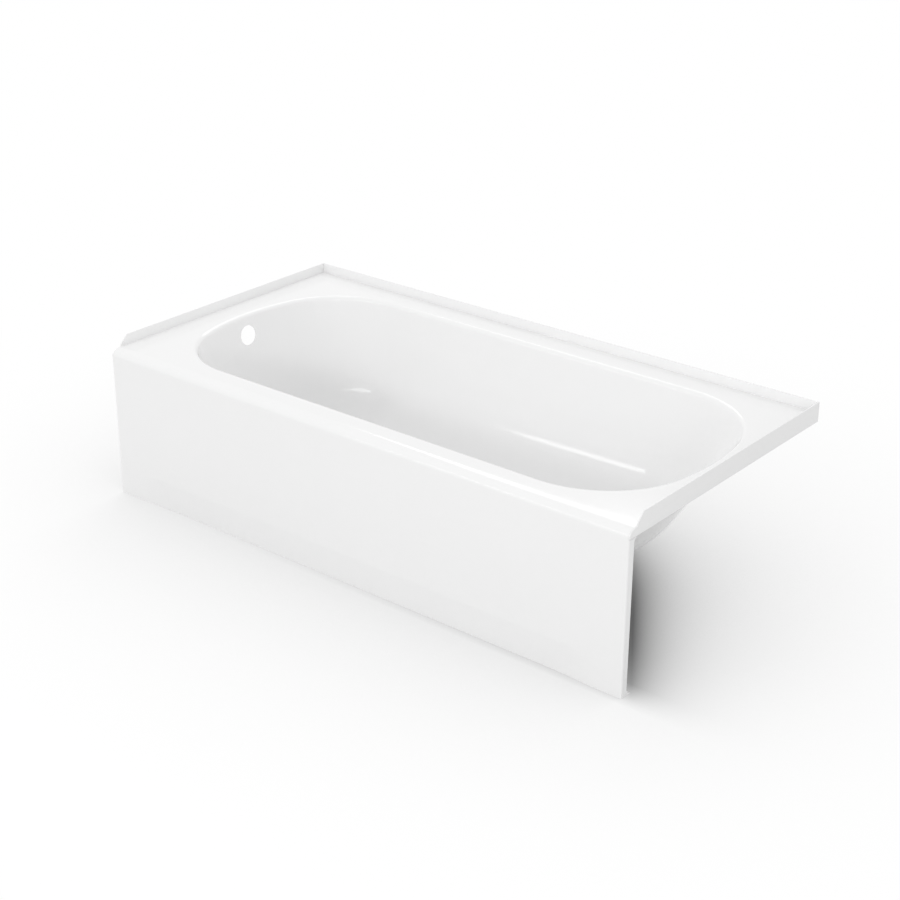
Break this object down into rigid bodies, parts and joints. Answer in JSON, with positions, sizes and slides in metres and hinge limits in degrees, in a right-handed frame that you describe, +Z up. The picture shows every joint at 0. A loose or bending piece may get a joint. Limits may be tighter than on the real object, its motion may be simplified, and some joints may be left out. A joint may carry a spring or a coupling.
{
  "type": "alcove bathtub",
  "caption": "Rectangular alcove bathtub with an oval well, rolled rim, three-sided tile flange, flat front apron with a toe band and a left-hand waste.",
  "frame": {"origin": "centre of the footprint, on the floor", "axes": "+X along the length, from the waste end to the backrest end; +Y from the apron to the back wall; +Z up"},
  "size_m": [1.524, 0.762, 0.4128],
  "materials": {
    "enamel": "gloss",
    "bracket_steel": "satin",
    "foam": "matte",
    "pad": "matte"
  },
  "bodies": {
    "root": {"bath_shell": "enamel", "tile_flange_left": "enamel", "tile_flange_right": "enamel", "tile_flange_back": "enamel", "apron_panel": "enamel", "apron_joint_strip": "bracket_steel", "apron_foot_channel": "bracket_steel", "apron_brace_1": "bracket_steel", "apron_brace_2": "bracket_steel", "apron_brace_3": "bracket_steel", "apron_tie_left": "bracket_steel", "apron_tie_right": "bracket_steel", "support_bed": "foam", "sound_pad_front": "pad", "sound_pad_back": "pad", "sound_pad_waste_end": "pad"}
  },
  "joints": []
}
